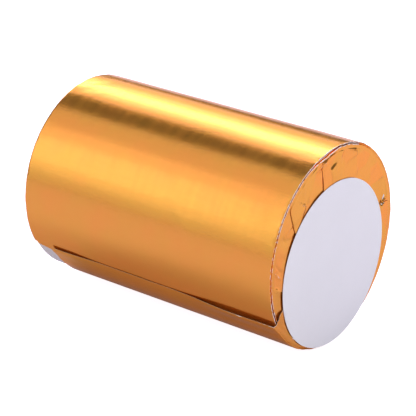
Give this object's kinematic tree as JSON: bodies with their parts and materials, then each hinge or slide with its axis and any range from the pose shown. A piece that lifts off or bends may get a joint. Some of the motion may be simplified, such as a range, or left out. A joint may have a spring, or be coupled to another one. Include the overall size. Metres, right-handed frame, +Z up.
{
  "type": "roll of sign vinyl",
  "caption": "Narrow roll of self-adhesive film on a paper core, sealed in gold foil with pleated ends, a lapped seam flap and round paper seals that peel.",
  "frame": {"origin": "on the axis of the core's bore, halfway along the roll", "axes": "+X along the core towards the near end, +Z up as the roll lies on its side, so the flap's free edge is on the -Y side"},
  "size_m": [0.0584, 0.039, 0.039],
  "materials": {
    "core_paper": "matte",
    "tape": "gloss",
    "web": "matte",
    "film": "satin",
    "liner": "matte",
    "foil_laminate": "gloss",
    "glue": "satin",
    "label_paper": "matte",
    "label_adhesive": "satin"
  },
  "bodies": {
    "wrapper": {"wrapper_sheet": "foil_laminate", "near_end_fold": "foil_laminate", "far_end_fold": "foil_laminate", "seam_glue": "glue"},
    "roll": {"core_inner_ply": "core_paper", "core_middle_ply": "core_paper", "core_outer_ply": "core_paper", "core_tape": "tape", "wound_turns": "web", "outer_turn_liner": "liner", "outer_turn_film": "film", "tail_tape": "tape"},
    "flap": {"overlap_flap": "foil_laminate", "flap_near_tab": "foil_laminate"},
    "near_seal": {"near_label_paper": "label_paper", "near_label_adhesive": "label_adhesive"},
    "far_seal": {"far_label_paper": "label_paper", "far_label_adhesive": "label_adhesive"}
  },
  "joints": [
    {"name": "roll_turn", "type": "hinge", "parent": "wrapper", "child": "roll", "pos_m": [0, 0, 0], "axis": [1, 0, 0], "continuous": true},
    {"name": "flap_lift", "type": "hinge", "parent": "wrapper", "child": "flap", "pos_m": [0, -0.00976, -0.01691], "axis": [1, 0, 0], "range_deg": [0, 55]},
    {"name": "near_label_peel", "type": "hinge", "parent": "wrapper", "child": "near_seal", "pos_m": [0.02907, 0.00015, 0.01263], "axis": [0, -1, 0], "range_deg": [0, 105]},
    {"name": "far_label_peel", "type": "hinge", "parent": "wrapper", "child": "far_seal", "pos_m": [-0.02907, 0.0012, 0.0168], "axis": [0, 1, 0], "range_deg": [0, 105]}
  ]
}
